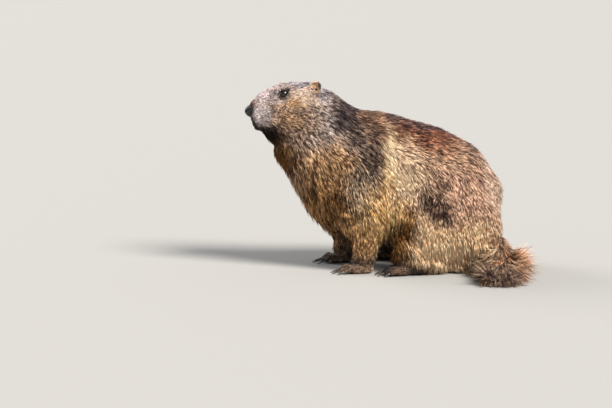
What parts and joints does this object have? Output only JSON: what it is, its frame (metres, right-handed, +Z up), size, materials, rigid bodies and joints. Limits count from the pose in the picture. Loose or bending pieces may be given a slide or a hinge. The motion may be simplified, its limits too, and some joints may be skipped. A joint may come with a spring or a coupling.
{
  "type": "life-size model of an alpine marmot",
  "caption": "Still life-size model of an alpine marmot sitting back on its haunches, forefeet planted, head raised, bushy tail laid along the floor.",
  "frame": {"origin": "on the floor, at the middle of the model's box seen from above", "axes": "+Z up; the animal faces -X and its left side is towards -Y"},
  "size_m": [0.4134, 0.3, 0.2639],
  "materials": {
    "coat_grizzled": "coarse grizzled brown fur",
    "coat_grey": "short grey-brown fur of the head and neck",
    "coat_gold": "golden tan fur of the legs and haunches",
    "tail_brush": "long dark brown tail hair with a rusty root",
    "paw": "thinly haired dark feet",
    "nose": "moist black nose leather",
    "claw": "dark horn",
    "eye": "glossy black eye"
  },
  "bodies": {
    "root": {"head": "coat_grey", "jaw": "coat_grey", "nose": "nose", "neck": "coat_grizzled", "chest": "coat_grizzled", "torso": "coat_grizzled", "tail": "tail_brush", "ear_left": "coat_gold", "eye_left": "eye", "foreleg_left": "coat_gold", "forepaw_left": "paw", "claw_forepaw_left_1": "claw", "claw_forepaw_left_2": "claw", "claw_forepaw_left_3": "claw", "claw_forepaw_left_4": "claw", "haunch_left": "coat_gold", "hindfoot_left": "paw", "claw_hindfoot_left_1": "claw", "claw_hindfoot_left_2": "claw", "claw_hindfoot_left_3": "claw", "claw_hindfoot_left_4": "claw", "claw_hindfoot_left_5": "claw", "ear_right": "coat_gold", "eye_right": "eye", "foreleg_right": "coat_gold", "forepaw_right": "paw", "claw_forepaw_right_1": "claw", "claw_forepaw_right_2": "claw", "claw_forepaw_right_3": "claw", "claw_forepaw_right_4": "claw", "haunch_right": "coat_gold", "hindfoot_right": "paw", "claw_hindfoot_right_1": "claw", "claw_hindfoot_right_2": "claw", "claw_hindfoot_right_3": "claw", "claw_hindfoot_right_4": "claw", "claw_hindfoot_right_5": "claw"}
  },
  "joints": []
}
